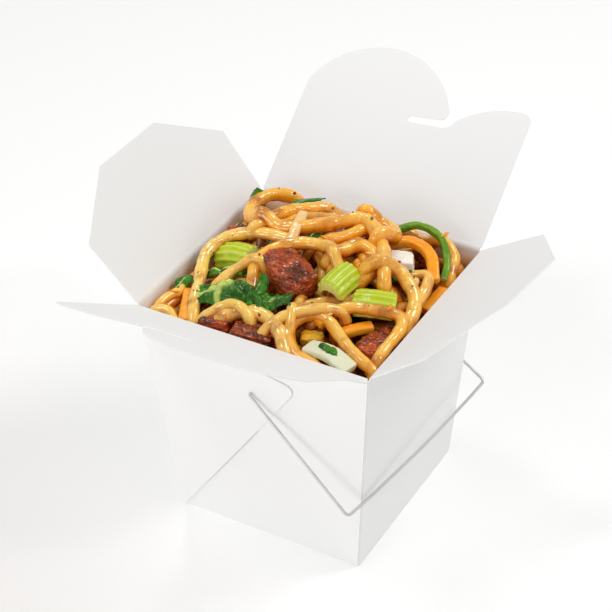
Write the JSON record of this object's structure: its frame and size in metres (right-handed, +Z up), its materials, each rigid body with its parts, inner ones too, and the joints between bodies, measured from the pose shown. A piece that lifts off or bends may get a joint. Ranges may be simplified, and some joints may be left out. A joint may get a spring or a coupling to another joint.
{
  "type": "folded paper takeaway box with wire handle, filled with noodles",
  "caption": "Open folded white takeaway box with hooked lid flaps and a wire bail, heaped with sauced noodles, beef and vegetables.",
  "frame": {"origin": "centre of the base's underside, where the box stands", "axes": "+Z up; the front wall with its hooked main flap at -Y, the back main flap at +Y, side flaps at -X and +X; the wire bail hangs on the +X side"},
  "size_m": [0.1817, 0.2215, 0.1541],
  "materials": {
    "white_board": "smooth white coated paper board, unprinted",
    "steel_wire": "bright drawn wire",
    "noodles": "cooked wheat noodles, glossy with brown sauce",
    "beef": "browned beef with glossy sauce",
    "celery": "cooked celery, wet",
    "carrot": "cooked carrot, wet",
    "leaf": "cooked dark green leaf, wet",
    "pale_stem": "cooked pale stem and onion, wet",
    "egg": "cooked egg"
  },
  "bodies": {
    "box": {"tub": "white_board", "noodles": "noodles", "beef_centre": "beef", "beef_front_left": "beef", "beef_front": "beef", "beef_right": "beef", "beef_back_right": "beef", "beef_back_left": "beef", "celery_centre": "celery", "celery_right": "celery", "celery_left": "celery", "green_stem": "celery", "carrot_left": "carrot", "carrot_centre": "carrot", "carrot_arc": "carrot", "carrot_right": "carrot", "carrot_front": "carrot", "leaf_front": "leaf", "leaf_left": "leaf", "leaf_far_left": "leaf", "leaf_corner": "leaf", "leaf_back": "leaf", "leaf_edge": "leaf", "stem_front": "pale_stem", "onion": "pale_stem", "sprout_centre": "pale_stem", "sprout_right": "pale_stem", "cabbage_back": "pale_stem", "egg_front": "egg", "egg_right": "egg"},
    "front_flap": {"flap_front": "white_board"},
    "back_flap": {"flap_back": "white_board"},
    "left_flap": {"flap_left": "white_board"},
    "right_flap": {"flap_right": "white_board"},
    "wire": {"bail": "steel_wire"}
  },
  "joints": [
    {"name": "front_flap_fold", "type": "hinge", "parent": "box", "child": "front_flap", "pos_m": [0, -0.04865, 0.1055], "axis": [-1, 0, 0], "range_deg": [-63.5, 121.5]},
    {"name": "back_flap_fold", "type": "hinge", "parent": "box", "child": "back_flap", "pos_m": [0, 0.04865, 0.1055], "axis": [1, 0, 0], "range_deg": [-69, 75]},
    {"name": "left_flap_fold", "type": "hinge", "parent": "box", "child": "left_flap", "pos_m": [-0.05225, 0, 0.1055], "axis": [0, -1, 0], "range_deg": [-66, 80]},
    {"name": "right_flap_fold", "type": "hinge", "parent": "box", "child": "right_flap", "pos_m": [0.05225, 0, 0.1055], "axis": [0, 1, 0], "range_deg": [-108, 63.5]},
    {"name": "bail_swing", "type": "hinge", "parent": "box", "child": "wire", "pos_m": [-0.001, -0.0498, 0.0794], "axis": [0, -1, 0], "range_deg": [0, 48]}
  ]
}
